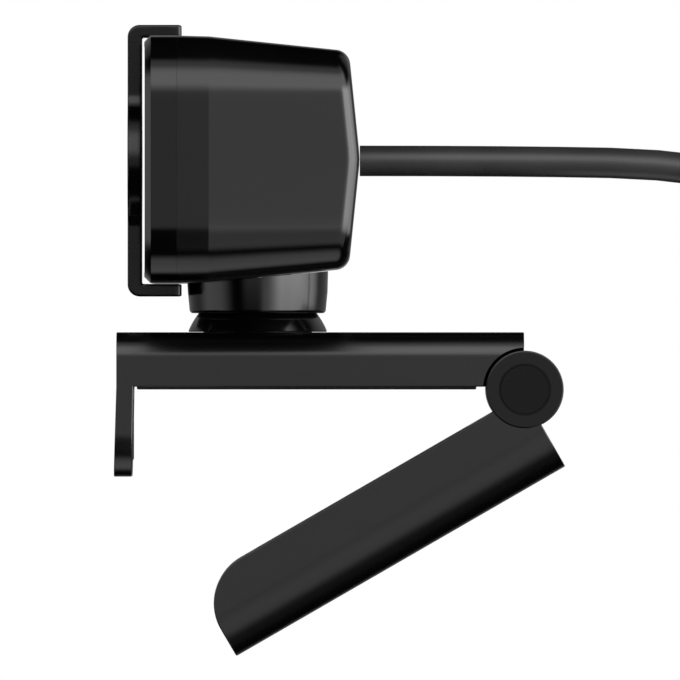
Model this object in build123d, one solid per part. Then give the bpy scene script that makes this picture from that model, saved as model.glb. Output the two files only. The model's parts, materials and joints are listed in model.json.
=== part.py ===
"""Clip-on webcam: a wide camera head on a swivelling ball neck, over a monitor clip with a hinged arm.

Units are millimetres. +Z is up along the swivel axis, the lens looks along -Y, and +X is the head's
long direction. The origin is on the underside of the bracket's rubber pad, under the swivel axis.
"""
from build123d import *
import math
import os

os.makedirs("parts", exist_ok=True)

# --- driving dimensions -------------------------------------------------------------------------

# head
HEAD_Z = 33.6  # height of the head's centre line and of the lens axis
HEAD_WIDTH = 103.0
HEAD_HEIGHT = 36.0
HEAD_CORNER_R = 8.4
FRONT_Y = -16.6
SEAM_Y = -11.65  # bezel meets rear housing
TAPER_Y = -7.0  # the rear taper starts here
BACK_Y = 15.0  # ridge of the back face
FRONT_DRAFT = 1.5  # degrees, from the seam to the start of the taper
REAR_DRAFT = 5.5  # degrees
BACK_SLOPE = 5.8  # degrees that each half of the back face leans forward
BACK_RIDGE_R = 14.0
BACK_EDGE_R = 2.0
RIM_CHAMFER = 0.9
WALL = 2.0

# front parts and optics
PANEL_INSET = 1.5
PANEL_BACK_Y = -15.2
WEB_BACK_Y = -13.4
LENS_BORE_R = 8.6
MIC_X = 30.0
LED_X = 14.0
BOARD_Y = 0.0  # front face of the main board
BOARD_THICK = 1.2
BOARD_WIDTH = 80.6
BOARD_HEIGHT = 20.0
BEZEL_SCREW_X = 43.5
BEZEL_SCREW_Z = 11.3  # above and below the head's centre line
BOARD_SCREW_X = 38.5

# neck
BALL_R = 11.0
BALL_Z = 4.45
BALL_WALL = 2.0
CUP_GAP = 0.15
COLLAR_BOTTOM_Z = 11.2
COLLAR_BOTTOM_R = 9.97
COLLAR_DRAFT = 5.0
STUD_R = 1.5
TILT_LIMIT = 14.0  # degrees each way
BOSS_TOP_Z = 20.0  # flat seat for the stud and neck screws inside the head

# privacy cover
COVER_FRONT_Y = -19.1
COVER_PLATE = 2.1
COVER_LEG = 1.85
COVER_GAP = 0.1  # between a leg and the head
COVER_END_Y = -11.2
COVER_STRIP = 10.8
COVER_DISC_R = 9.85
COVER_BLEND_R = 3.2
COVER_CORNER_R = 1.75

# bracket
CLIP_WIDTH = 29.0
CLIP_FRONT_Y = -20.7
CLIP_TOP_Z = 8.4
CLIP_BOTTOM_Z = 0.4
CLIP_EDGE_R = 3.9
LIP_BOTTOM_Z = -12.8
LIP_CORNER_R = 6.4
PAD_FRONT_Y = -17.75
PAD_BACK_Y = 32.2
PAD_THICK = 1.2

# hinge and arm
HINGE_Y = 39.2
EAR_R = 5.7
EAR_INNER_X = 8.6
KNUCKLE_HALF = 8.2
HINGE_GAP_R = 6.15
CAP_R = 3.74
HINGE_PIN_R = 1.5
ARM_START = 0.47  # from the hinge axis, along the arm
ARM_END = 56.2
ARM_INNER = 0.54  # from the hinge axis, across the arm
ARM_OUTER = 12.75
ARM_TIP_R = 7.6
ARM_EDGE_R = 6.6
ARM_REST = 30.0  # degrees below closed
TRIPOD_S = 39.2  # along the arm, so that it is under the swivel axis when the arm is closed
TRIPOD_HOLE_R = 2.6

# cord
CABLE_R = 2.25
CABLE_LENGTH = 1800.0
LEAD_START_Y = 12.4  # back face of the anchor inside the head
COIL_X = 15.0
COIL_Y = 118.0
COIL_Z = -44.0
COIL_INNER_R = 16.5
COIL_OUTER_R = 35.6
COIL_THICK = 13.6
COIL_MEAN_R = 26.0
COIL_TAIL_R = 32.85  # where the cable's end leaves the last turn


# --- helpers ------------------------------------------------------------------------------------


def facing_back(y):
    """A sketch plane across the head's centre line, whose extrusions run towards the back."""
    return Plane(origin=(0, y, HEAD_Z), x_dir=(-1, 0, 0), z_dir=(0, 1, 0))


def across(y, z):
    """A place whose local Z axis runs along +X, for pieces of the hinge."""
    return Pos(0, y, z) * Rot(0, 90, 0)


def rod(y_from, y_to, radius, x=0.0, z=HEAD_Z):
    """A round bar along Y."""
    middle = (y_from + y_to) / 2
    return Pos(x, middle, z) * Rot(90, 0, 0) * Cylinder(radius, abs(y_to - y_from))


def post(z_from, z_to, radius, x=0.0, y=0.0):
    """A round bar along Z."""
    return Pos(x, y, (z_from + z_to) / 2) * Cylinder(radius, abs(z_to - z_from))


def block(low, high):
    """A box given by its lowest and highest corners."""
    size = [b - a for a, b in zip(low, high)]
    centre = [(a + b) / 2 for a, b in zip(low, high)]
    return Pos(*centre) * Box(*size)


def side_profile(points, width):
    """A closed outline of (y, z) points, as thick as width about the middle plane."""
    outline = Polyline(*[(0, y, z) for y, z in points], close=True)
    return extrude(make_face(outline), width / 2, dir=(1, 0, 0), both=True)


def save(node, *solids):
    """Writes one sub-part: a solid, or a group of separate ones."""
    shape = solids[0] if len(solids) == 1 else Compound(children=list(solids))
    export_step(shape, f"parts/{node}.step")


# --- head: casings ------------------------------------------------------------------------------


def back_slab(inset):
    """Everything in front of the back face, with its soft ridge, moved forward by inset."""
    ridge_y = BACK_Y - inset / math.cos(math.radians(BACK_SLOPE))
    reach = HEAD_HEIGHT
    lean = reach * math.tan(math.radians(BACK_SLOPE))
    outline = Polyline(
        (0, SEAM_Y - 5, HEAD_Z - reach),
        (0, ridge_y - lean, HEAD_Z - reach),
        (0, ridge_y, HEAD_Z),
        (0, ridge_y - lean, HEAD_Z + reach),
        (0, SEAM_Y - 5, HEAD_Z + reach),
        close=True,
    )
    face = make_face(outline)
    ridge = face.vertices().sort_by(Axis.Y)[-1]
    return extrude(fillet(ridge, BACK_RIDGE_R), HEAD_WIDTH, dir=(1, 0, 0), both=True)


def rear_form(inset):
    """The outer form of the head behind the seam, with every face moved inward by inset."""
    width = HEAD_WIDTH - 2 * inset
    height = HEAD_HEIGHT - 2 * inset
    corner = HEAD_CORNER_R - inset
    front_length = TAPER_Y - SEAM_Y
    shrink = front_length * math.tan(math.radians(FRONT_DRAFT))
    front_outline = RectangleRounded(width, height, corner)
    rear_outline = RectangleRounded(width - 2 * shrink, height - 2 * shrink, corner - shrink)
    front = extrude(facing_back(SEAM_Y) * front_outline, front_length, taper=FRONT_DRAFT)
    rear = extrude(facing_back(TAPER_Y) * rear_outline, BACK_Y - TAPER_Y + 2, taper=REAR_DRAFT)
    return (front + rear) & back_slab(inset)


def soften_back(form):
    """Rounds the edge where the sides meet the back face."""
    back_faces = [f for f in form.faces() if f.center().Y > BACK_Y - 3 and f.normal_at().Y > 0.98]
    edges = [e for f in back_faces for e in f.edges()]
    rim = [e for e in edges if sum(e.is_same(other) for other in edges) == 1]
    return fillet(rim, BACK_EDGE_R)


def bezel_block(y_from, y_to, inset):
    """A rounded slab of the head's front outline, made smaller by inset."""
    outline = RectangleRounded(
        HEAD_WIDTH - 2 * inset, HEAD_HEIGHT - 2 * inset, max(HEAD_CORNER_R - inset, 1.0)
    )
    return extrude(facing_back(y_from) * outline, y_to - y_from)


def corner_places(x, z):
    """Four places, left and right, above and below the head's centre line."""
    return [(sx * x, HEAD_Z + sz * z) for sx in (-1, 1) for sz in (-1, 1)]


def make_rear_housing(envelope):
    cavity = rear_form(WALL)
    shell = envelope - cavity
    bosses = post(HEAD_Z - HEAD_HEIGHT / 2, BOSS_TOP_Z, 9.4)
    for x, z in corner_places(BEZEL_SCREW_X, BEZEL_SCREW_Z):
        bosses += rod(WEB_BACK_Y + 1.8, BACK_Y, 2.6, x, z)
    saddle = block((-6, 9.6, HEAD_Z - 16), (6, 11.0, HEAD_Z + 1.5))
    saddle -= block((-2.6, 9, HEAD_Z), (2.6, 12, HEAD_Z + 4))
    saddle -= rod(9, 12, 2.6)
    shell += (bosses + saddle) & envelope
    for x, z in corner_places(BEZEL_SCREW_X, BEZEL_SCREW_Z):
        shell -= rod(SEAM_Y - 3, -4.0, 0.95, x, z)
    shell -= post(0, BOSS_TOP_Z + 5, 5.1)
    for x in (-7.2, 7.2):
        shell -= post(0, BOSS_TOP_Z + 5, 1.05, x)
    shell -= rod(BACK_Y - 4, BACK_Y + 2, CABLE_R + 0.1)
    return shell


def make_front_bezel():
    ring = bezel_block(FRONT_Y, SEAM_Y, 0)
    rim = ring.faces().sort_by(Axis.Y)[0].edges()
    ring = chamfer(rim, RIM_CHAMFER)
    ring -= bezel_block(FRONT_Y - 1, PANEL_BACK_Y, PANEL_INSET)
    ring -= bezel_block(WEB_BACK_Y, SEAM_Y + 1, WALL)
    ring += bezel_block(WEB_BACK_Y, SEAM_Y + 1.3, WALL + 0.1) - bezel_block(
        WEB_BACK_Y - 1, SEAM_Y + 2, WALL + 1.1
    )
    for x in (-BOARD_SCREW_X, BOARD_SCREW_X):
        ring += rod(WEB_BACK_Y, BOARD_Y, 2.4, x)
        ring -= rod(-8, BOARD_Y + 1, 0.95, x)
    for x in (-MIC_X, MIC_X):
        ring -= rod(FRONT_Y, WEB_BACK_Y + 1, 1.0, x)
    ring -= rod(FRONT_Y, WEB_BACK_Y + 1, LENS_BORE_R)
    ring -= rod(FRONT_Y, WEB_BACK_Y + 1, 1.0, LED_X)
    for x, z in corner_places(BEZEL_SCREW_X, BEZEL_SCREW_Z):
        ring -= rod(PANEL_BACK_Y - 1, PANEL_BACK_Y + 1.2, 1.95, x, z)
        ring -= rod(PANEL_BACK_Y, SEAM_Y, 1.05, x, z)
        ring -= rod(WEB_BACK_Y + 1.75, SEAM_Y + 2, 2.7, x, z)
    return ring


def make_front_panel():
    panel = bezel_block(FRONT_Y + 0.1, PANEL_BACK_Y, PANEL_INSET + 0.05)
    panel -= rod(FRONT_Y - 1, PANEL_BACK_Y + 1, 8.0)
    for x in (-MIC_X, MIC_X):
        panel -= rod(FRONT_Y - 1, PANEL_BACK_Y + 1, 0.6, x)
    panel -= rod(FRONT_Y - 1, PANEL_BACK_Y + 1, 1.0, LED_X)
    return panel


# --- head: optics and electronics ---------------------------------------------------------------


def make_optics():
    """The lens stack from the trim ring back to the sensor."""
    trim = rod(FRONT_Y + 0.2, -14.2, 7.9) + rod(PANEL_BACK_Y, -14.2, 8.5)
    flare = Pos(0, -15.3, HEAD_Z) * Rot(90, 0, 0) * Cone(5.2, 7.0, 2.2)
    save("lens_trim_ring", trim - flare - rod(-18, -13, 5.2))
    barrel = rod(-14.0, -2.2, 6.0)
    barrel -= rod(-14.5, -11.4, 4.6)
    barrel -= rod(-12, -5.2, 3.0)
    barrel -= rod(-5.3, -1.0, 3.6)
    save("lens_barrel", barrel)
    dome = Pos(0, -13.9 + 8.0, HEAD_Z) * Sphere(8.0)
    save("front_lens", rod(-14.0, -11.45, 4.55) & dome)
    bowl = Pos(0, -2.4 - 9.0, HEAD_Z) * Sphere(9.0)
    save("rear_lens", rod(-5.15, -2.3, 3.55) & bowl)
    holder = block((-8.5, -1.6, HEAD_Z - 8.5), (8.5, BOARD_Y, HEAD_Z + 8.5))
    holder += rod(-8.0, -1.6, 7.6)
    holder -= rod(-9, -2.1, 6.03)
    holder -= rod(-3, 1, 3.4)
    holder -= block((-4.4, -1.0, HEAD_Z - 4.4), (4.4, 1, HEAD_Z + 4.4))
    save("lens_holder", holder)
    save("infrared_filter", block((-4.2, -0.98, HEAD_Z - 4.2), (4.2, -0.68, HEAD_Z + 4.2)))
    save("image_sensor", block((-3.6, -0.6, HEAD_Z - 3.6), (3.6, BOARD_Y, HEAD_Z + 3.6)))


def make_electronics():
    """The main board, what is soldered to it, and the parts that it serves."""
    half_w = BOARD_WIDTH / 2
    half_h = BOARD_HEIGHT / 2
    back = BOARD_Y + BOARD_THICK
    board = block((-half_w, BOARD_Y, HEAD_Z - half_h), (half_w, back, HEAD_Z + half_h))
    for x in (-BOARD_SCREW_X, BOARD_SCREW_X):
        board -= rod(BOARD_Y - 1, back + 1, 1.05, x)
    save("main_board", board)
    save("video_processor", block((-18.5, back, HEAD_Z - 4.5), (-9.5, back + 1.0, HEAD_Z + 4.5)))
    socket = block((-5, back, HEAD_Z - 2.5), (5, back + 4.0, HEAD_Z + 2.5))
    save("board_connector", socket - block((-4.2, back + 0.8, HEAD_Z - 1.8), (4.2, 9, HEAD_Z + 1.8)))
    save("status_led", block((LED_X - 0.8, -0.8, HEAD_Z - 0.5), (LED_X + 0.8, BOARD_Y, HEAD_Z + 0.5)))
    pipe = rod(FRONT_Y + 0.2, -1.0, 0.85, LED_X)
    save("light_pipe", pipe + rod(WEB_BACK_Y, WEB_BACK_Y + 1.2, 1.8, LED_X))
    capsules = [rod(-12.6, -11.2, 2.0, x) for x in (-MIC_X, MIC_X)]
    save("microphones", *capsules)
    boots = []
    for x in (-MIC_X, MIC_X):
        boot = rod(WEB_BACK_Y, -10.4, 3.0, x) - rod(-12.6, -11.2, 2.0, x)
        boots.append(boot - rod(WEB_BACK_Y - 1, -12.5, 0.6, x))
    save("microphone_boots", *boots)
    anchor = rod(7.6, LEAD_START_Y, 3.9)
    anchor -= rod(9.5, 11.1, 5.0) - rod(9.5, 11.1, 2.5)
    save("cable_anchor", anchor)
    save("inner_lead", rod(back + 0.8, 7.6, 1.6))


def make_head_screws():
    bezel_screws = []
    for x, z in corner_places(BEZEL_SCREW_X, BEZEL_SCREW_Z):
        head = rod(PANEL_BACK_Y + 0.02, PANEL_BACK_Y + 1.2, 1.85, x, z)
        bezel_screws.append(head + rod(PANEL_BACK_Y + 1, -5.0, 0.93, x, z))
    save("bezel_screws", *bezel_screws)
    board_screws = []
    back = BOARD_Y + BOARD_THICK
    for x in (-BOARD_SCREW_X, BOARD_SCREW_X):
        board_screws.append(rod(back, back + 1.2, 1.9, x) + rod(back + 0.5, -6.5, 0.93, x))
    save("board_screws", *board_screws)


# --- neck ---------------------------------------------------------------------------------------


def make_collar(envelope):
    """The tapered collar with its ball cup, trimmed to the underside of the head."""
    height = 9.0
    top_r = COLLAR_BOTTOM_R + height * math.tan(math.radians(COLLAR_DRAFT))
    collar = Pos(0, 0, COLLAR_BOTTOM_Z + height / 2) * Cone(COLLAR_BOTTOM_R, top_r, height)
    collar = fillet(collar.edges().sort_by(Axis.Z)[0], 0.5)
    collar -= envelope
    collar += post(14, BOSS_TOP_Z, 5.0)
    collar -= Pos(0, 0, BALL_Z) * Sphere(BALL_R + CUP_GAP)
    collar -= post(10, BOSS_TOP_Z + 1, STUD_R + 0.08)
    for x in (-7.2, 7.2):
        collar -= post(13.4, BOSS_TOP_Z + 1, 0.95, x)
    return collar


def make_neck_hardware():
    """The stud and what it clamps: washer, disc springs and nut, under the dome's crown."""
    nut_top_z = 9.0
    stud = post(nut_top_z - 3.1, BOSS_TOP_Z, STUD_R) + post(BOSS_TOP_Z, BOSS_TOP_Z + 1.8, 2.8)
    save("neck_stud", stud)
    washer_bottom_z = BALL_Z + 6.3
    cap = Pos(0, 0, BALL_Z) * Sphere(BALL_R - BALL_WALL - 0.1)
    washer = cap & post(washer_bottom_z, BALL_Z + BALL_R, 4.7)
    save("friction_washer", washer - post(nut_top_z, 16, STUD_R + 0.05))
    springs = []
    half = (washer_bottom_z - nut_top_z) / 2
    for base_z, inner_high in ((nut_top_z, True), (nut_top_z + half, False)):
        inner_z = base_z + (half - 0.42 if inner_high else 0.02)
        outer_z = base_z + (0.02 if inner_high else half - 0.42)
        outline = Polyline(
            (1.6, 0, inner_z),
            (3.6, 0, outer_z),
            (3.6, 0, outer_z + 0.4),
            (1.6, 0, inner_z + 0.4),
            close=True,
        )
        springs.append(revolve(make_face(outline), Axis.Z))
    save("disc_springs", *springs)
    nut = extrude(Plane.XY.offset(nut_top_z - 2.6) * RegularPolygon(3.17, 6), 2.6)
    save("neck_nut", nut - post(0, 12, STUD_R + 0.01))
    screws = []
    for x in (-7.2, 7.2):
        screws.append(post(14.0, BOSS_TOP_Z, 0.93, x) + post(BOSS_TOP_Z, BOSS_TOP_Z + 1.2, 1.8, x))
    save("neck_screws", *screws)


def make_dome():
    """The hollow ball dome: its crown is slotted for the stud, and its boss turns in the bracket."""
    seat_z = CLIP_TOP_Z + 0.05
    boss_bottom_z = 4.6
    ball = Pos(0, 0, BALL_Z) * Sphere(BALL_R) & post(seat_z, 20, BALL_R + 1)
    dome = ball + post(boss_bottom_z, seat_z + 0.5, 8.0)
    dome -= (Pos(0, 0, BALL_Z) * Sphere(BALL_R - BALL_WALL)) & post(seat_z + 1.0, 20, BALL_R)
    dome -= post(boss_bottom_z - 1, seat_z + 1.5, 6.8)
    travel = BALL_R * math.sin(math.radians(TILT_LIMIT + 1)) + STUD_R + 0.25
    slot = SlotOverall(2 * travel, 2 * (STUD_R + 0.15))
    dome -= extrude(Plane.XY.offset(11) * Rot(0, 0, 90) * slot, 8)
    groove = post(5.15, 5.9, 8.5) - post(5.1, 6.0, 7.3)
    save("ball_dome", dome - groove)
    ring = post(5.2, 5.85, 9.6) - post(5, 6, 7.35)
    gap = block((-1.2, 0, 5), (1.2, 12, 6))
    save("dome_retainer", ring - gap)


# --- privacy cover ------------------------------------------------------------------------------


def make_cover():
    """A C-shaped strip that hugs the head, widened to a disc over the lens."""
    leg_z = HEAD_HEIGHT / 2 + COVER_GAP
    top_z = leg_z + COVER_LEG
    outer = block(
        (-COVER_DISC_R, COVER_FRONT_Y, HEAD_Z - top_z), (COVER_DISC_R, COVER_END_Y, HEAD_Z + top_z)
    )
    front_edges = outer.edges().filter_by(Axis.X).group_by(Axis.Y)[0]
    outer = fillet(front_edges, COVER_CORNER_R)
    inner = block(
        (-20, COVER_FRONT_Y + COVER_PLATE, HEAD_Z - leg_z), (20, 0, HEAD_Z + leg_z)
    )
    shape = Rectangle(COVER_STRIP, 2 * top_z) + Circle(COVER_DISC_R)
    waist = shape.vertices().filter_by(lambda v: abs(v.Y) < COVER_DISC_R)
    shape = fillet(waist, COVER_BLEND_R)
    cover = (outer - inner) & extrude(facing_back(COVER_FRONT_Y - 1) * shape, 12)
    ends = cover.edges().filter_by(Axis.Z).group_by(Axis.Y)[-1]
    return fillet(ends, 0.5)


# --- clip ---------------------------------------------------------------------------------------


def make_bracket():
    """The clamp plate with the front lip, hollow from below, and the hinge's middle knuckle."""
    plate = block(
        (-CLIP_WIDTH / 2, CLIP_FRONT_Y, CLIP_BOTTOM_Z), (CLIP_WIDTH / 2, HINGE_Y - 0.1, CLIP_TOP_Z)
    )
    top_edges = plate.edges().filter_by(Axis.Y).group_by(Axis.Z)[-1]
    plate = fillet(top_edges, CLIP_EDGE_R)
    ear_gap = across(HINGE_Y, 0) * Cylinder(HINGE_GAP_R, CLIP_WIDTH + 2)
    knuckle = across(HINGE_Y, 0) * Cylinder(EAR_R, 2 * KNUCKLE_HALF)
    middle = plate & block((-KNUCKLE_HALF, 25, 0), (KNUCKLE_HALF, HINGE_Y, 10))
    plate = plate - ear_gap + middle + knuckle
    lip = side_profile(
        [
            (CLIP_FRONT_Y, CLIP_TOP_Z - CLIP_EDGE_R),
            (-18.2, CLIP_TOP_Z - CLIP_EDGE_R),
            (-18.2, CLIP_BOTTOM_Z),
            (-18.45, LIP_BOTTOM_Z),
            (-21.1, LIP_BOTTOM_Z),
            (CLIP_FRONT_Y, CLIP_BOTTOM_Z),
        ],
        CLIP_WIDTH,
    )
    lip_outline = extrude(
        Plane(origin=(0, -25, 0), x_dir=(-1, 0, 0), z_dir=(0, 1, 0))
        * Pos(0, (CLIP_TOP_Z + LIP_BOTTOM_Z) / 2)
        * RectangleRounded(CLIP_WIDTH, CLIP_TOP_Z - LIP_BOTTOM_Z, LIP_CORNER_R),
        10,
    )
    lip &= lip_outline + block((-20, -25, -3), (20, -15, 10))
    bracket = plate + lip
    bracket -= block((-11.5, -14, -1), (11.5, 29, 6.0))
    bracket -= block((-12.5, PAD_FRONT_Y, -1), (12.5, PAD_BACK_Y, PAD_THICK))
    for x, y in base_screw_places():
        bracket += post(2.8, 6.2, 2.4, x, y)
        bracket -= post(2, 5.6, 0.95, x, y)
    bracket -= post(5, 9, 8.1)
    bracket -= across(HINGE_Y, 0) * Cylinder(HINGE_PIN_R + 0.05, CLIP_WIDTH)
    bracket -= block((-9.5, -18.8, -10.5), (9.5, -17.0, -1.5))
    return bracket


def base_screw_places():
    return [(x, y) for x in (-8.6, 8.6) for y in (-11.0, 26.0)]


def make_clip_parts():
    plate = block((-11.4, -13.9, PAD_THICK), (11.4, 28.9, 2.8))
    screws = []
    for x, y in base_screw_places():
        plate -= post(PAD_THICK - 1, PAD_THICK + 0.9, 1.95, x, y) + post(0, 3, 1.05, x, y)
        head = post(PAD_THICK + 0.02, PAD_THICK + 0.9, 1.85, x, y)
        screws.append(head + post(PAD_THICK + 0.5, 5.3, 0.93, x, y))
    save("base_plate", plate)
    save("base_screws", *screws)
    pad = block((-12.4, PAD_FRONT_Y + 0.05, 0), (12.4, PAD_BACK_Y - 0.05, PAD_THICK))
    lower_rim = pad.faces().sort_by(Axis.Z)[0].edges()
    save("bracket_pad", fillet(lower_rim, 0.25))
    save("lip_pad", block((-9.4, -18.78, -10.4), (9.4, -18.25, -1.6)))


# --- arm and hinge, drawn closed and then turned to rest ------------------------------------------


def arm_box(s_from, s_to, n_from, n_to, half_width):
    """A block of the closed arm: s runs from the hinge to the tip, n from the inner to the outer face."""
    return block(
        (-half_width, HINGE_Y - s_to, -n_to), (half_width, HINGE_Y - s_from, -n_from)
    )


def arm_post(s, n_from, n_to, radius, x=0.0):
    return post(-n_from, -n_to, radius, x, HINGE_Y - s)


def at_rest(shape):
    """Turns a piece of the closed arm about the hinge axis to its rest angle."""
    return Pos(0, HINGE_Y, 0) * Rot(ARM_REST, 0, 0) * Pos(0, -HINGE_Y, 0) * shape


def arm_screw_places():
    return [(x, s) for x in (-8.0, 8.0) for s in (14.0, 30.0)]


def make_arm():
    half = CLIP_WIDTH / 2
    body = arm_box(ARM_START, ARM_END, ARM_INNER, ARM_OUTER, half)
    outer_edges = body.edges().filter_by(Axis.Y).group_by(Axis.Z)[0]
    body = fillet(outer_edges, ARM_EDGE_R)
    tip = body.edges().filter_by(Axis.X).group_by(Axis.Y)[0].sort_by(Axis.Z)[-1]
    body = fillet(tip, ARM_TIP_R)
    pivot = across(HINGE_Y, 0)
    body -= pivot * Cylinder(HINGE_GAP_R, 2 * EAR_INNER_X)
    ear_length = half - EAR_INNER_X
    for side in (-1, 1):
        ear = pivot * Pos(0, 0, side * (EAR_INNER_X + ear_length / 2)) * Cylinder(EAR_R, ear_length)
        body += ear
        body -= pivot * Pos(0, 0, side * (11.5 + 2)) * Cylinder(CAP_R + 0.1, 4)
    cavity = arm_box(8.0, 47.6, ARM_INNER - 1, 10.4, 12.1)
    deep_edges = cavity.edges().filter_by(Axis.Y).group_by(Axis.Z)[0]
    body -= fillet(deep_edges, 4.6)
    body += arm_post(TRIPOD_S, 3.0, ARM_OUTER - 1, 7.0)
    for x, s in arm_screw_places():
        body += arm_post(s, 2.4, 11.0, 2.6, x)
        body -= arm_post(s, 1, 8.5, 0.95, x)
    body -= arm_post(TRIPOD_S, 4.2, ARM_OUTER + 1, 4.6)
    body -= pivot * Cylinder(HINGE_PIN_R + 0.02, CLIP_WIDTH + 2)
    save("arm_shell", at_rest(body))
    cover = arm_box(8.1, 47.5, ARM_INNER, 2.35, 12.0)
    cover -= arm_box(10.0, 46.0, 0, 1.5, 10.6)
    screws = []
    for x, s in arm_screw_places():
        cover -= arm_post(s, 0, 1.95, 1.95, x) + arm_post(s, 0, 3, 1.05, x)
        head = arm_post(s, 1.52, 1.95, 1.85, x)
        screws.append(at_rest(head + arm_post(s, 1.7, 8.2, 0.93, x)))
    save("arm_cover", at_rest(cover))
    save("arm_screws", *screws)
    save("arm_pad", at_rest(arm_box(10.05, 45.95, ARM_INNER + 0.02, 1.5, 10.55)))
    insert = arm_post(TRIPOD_S, 4.25, ARM_OUTER - 0.05, 4.55)
    insert -= arm_post(TRIPOD_S, 5.2, ARM_OUTER + 1, TRIPOD_HOLE_R)
    save("tripod_insert", at_rest(insert))


def make_hinge():
    """The screw through ears and knuckle, its nut, the washers between them, and the end caps."""
    pivot = across(HINGE_Y, 0)
    half = CLIP_WIDTH / 2
    shank = pivot * Cylinder(HINGE_PIN_R, 25.6)
    head = pivot * Pos(0, 0, 12.3) * Cylinder(2.8, 1.6)
    save("hinge_screw", at_rest(shank + head))
    hexagon = extrude(RegularPolygon(3.17, 6), 0.9, both=True)
    nut = pivot * Pos(0, 0, -12.4) * (hexagon - Cylinder(HINGE_PIN_R + 0.01, 5))
    save("hinge_nut", at_rest(nut))
    gap = EAR_INNER_X - KNUCKLE_HALF
    washers = []
    caps = []
    for side in (-1, 1):
        middle = side * (KNUCKLE_HALF + gap / 2)
        ring = Cylinder(4.8, gap - 0.1) - Cylinder(HINGE_PIN_R + 0.05, 1)
        washers.append(at_rest(pivot * Pos(0, 0, middle) * ring))
        cap = Cylinder(CAP_R, 0.9)
        rim = cap.faces().sort_by(Axis.Z)[-1 if side > 0 else 0].edges()
        cap = fillet(rim, 0.2)
        caps.append(at_rest(pivot * Pos(0, 0, side * (half - 0.5)) * cap))
    save("hinge_washers", *washers)
    save("hinge_caps", *caps)


# --- cord ---------------------------------------------------------------------------------------

# The lead leaves the back, droops past the arm's reach and hangs down to the coil.
LEAD_ROUTE = [
    (0.0, LEAD_START_Y, 33.6),
    (0.0, 38.0, 33.6),
    (0.0, 66.0, 33.0),
    (0.0, 91.5, 25.8),
    (-0.8, 107.4, 6.6),
    (-3.4, 108.6, -15.0),
    (-4.2, 108.9, -35.0),
]

# The tail leaves the coil's outer turn beside the tie and runs down to the plug.
TAIL_ROUTE = [
    (COIL_X - 15.0, COIL_Y + 6.5, COIL_Z + 31.1),
    (COIL_X - COIL_TAIL_R, COIL_Y + 11.0, COIL_Z + 15.3),
    (COIL_X - COIL_TAIL_R, COIL_Y + 11.0, COIL_Z - 8.5),
]


def corner_radii(route):
    """The largest arc for each corner: 0.45 of its shorter run over the tangent of half the turn."""
    points = [Vector(*p) for p in route]
    radii = []
    for before, here, after in zip(points, points[1:], points[2:]):
        first = here - before
        second = after - here
        half_turn = math.radians(first.get_angle(second) / 2)
        radii.append(0.45 * min(first.length, second.length) / math.tan(half_turn))
    return radii


def tube(name, route):
    """A round tube of straight runs joined by tangent arcs. Returns it and its length."""
    radii = corner_radii(route)
    path = FilletPolyline(*route, radius=radii)
    start = Plane(origin=path @ 0, z_dir=path % 0)
    solid = sweep(start * Circle(CABLE_R), path=path)
    expected = math.pi * CABLE_R**2 * path.length
    print(name, "length", round(path.length, 1), "radii", [round(r, 1) for r in radii])
    print(name, "volume over section times length", round(solid.volume / expected, 4))
    return solid, path.length


def make_cord():
    lead, lead_length = tube("lead", LEAD_ROUTE)
    tail, tail_length = tube("tail", TAIL_ROUTE)
    save("cable", lead)
    save("cable_tail", tail)
    turns = (CABLE_LENGTH - lead_length - tail_length) / (2 * math.pi * COIL_MEAN_R)
    print("coil turns", round(turns, 2))
    place = Pos(COIL_X, COIL_Y, COIL_Z) * Rot(90, 0, 0)
    coil = Cylinder(COIL_OUTER_R, COIL_THICK)
    coil = fillet(coil.edges(), 2.2) - Cylinder(COIL_INNER_R, COIL_THICK + 1)
    save("cable_coil", place * coil)
    low, high = COIL_INNER_R - 0.6, COIL_OUTER_R + 0.15
    half = COIL_THICK / 2 + 0.1
    hoop = block((-4, -half - 1, low - 1), (4, half + 1, high + 1))
    hoop = fillet(hoop.edges().filter_by(Axis.X), 1.0)
    hoop -= block((-5, -half, low), (5, half, high))
    save("cable_tie", Pos(COIL_X, COIL_Y, COIL_Z) * hoop)


def make_plug():
    """A USB-A plug, hanging from the tail."""
    x, y, z = TAIL_ROUTE[-1]
    place = Pos(x, y, z)
    relief = Pos(0, 0, -6) * Cone(4.2, 3.1, 12)
    save("plug_strain_relief", place * relief)
    grip = block((-8, -4, -38), (8, 4, -12))
    grip = fillet(grip.edges().filter_by(Axis.Z), 2.0)
    grip = fillet(grip.faces().sort_by(Axis.Z)[-1].edges(), 1.5)
    grip -= block((-6.02, -2.27, -39), (6.02, 2.27, -33))
    save("plug_grip", place * grip)
    shell = block((-6, -2.25, -52), (6, 2.25, -33)) - block((-5.7, -1.95, -53), (5.7, 1.95, -34))
    windows = block((-3.6, -3, -46.5), (-1.4, 3, -44.0)) + block((1.4, -3, -46.5), (3.6, 3, -44.0))
    save("plug_shell", place * (shell - windows))
    save("plug_tongue", place * block((-5.6, 0.05, -51.5), (5.6, 1.9, -34)))


def main():
    envelope = soften_back(rear_form(0))
    save("rear_housing", make_rear_housing(envelope))
    save("front_bezel", make_front_bezel())
    save("front_panel", make_front_panel())
    make_optics()
    make_electronics()
    make_head_screws()
    save("neck_collar", make_collar(envelope))
    make_neck_hardware()
    make_dome()
    save("privacy_cover", make_cover())
    save("bracket", make_bracket())
    make_clip_parts()
    make_arm()
    make_hinge()
    make_cord()
    make_plug()


main()
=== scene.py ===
"""Looks of a clip-on webcam: a wide head on a ball neck, over a monitor clip with a hinged arm.

Lengths below are millimetres in the part's own frame, and MM turns them into Blender's metres.
+Z is up along the swivel axis, the lens looks along -Y and the head is long along X.
"""
import json
import math
import bpy
import bmesh
from mathutils import Matrix, Vector


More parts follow.
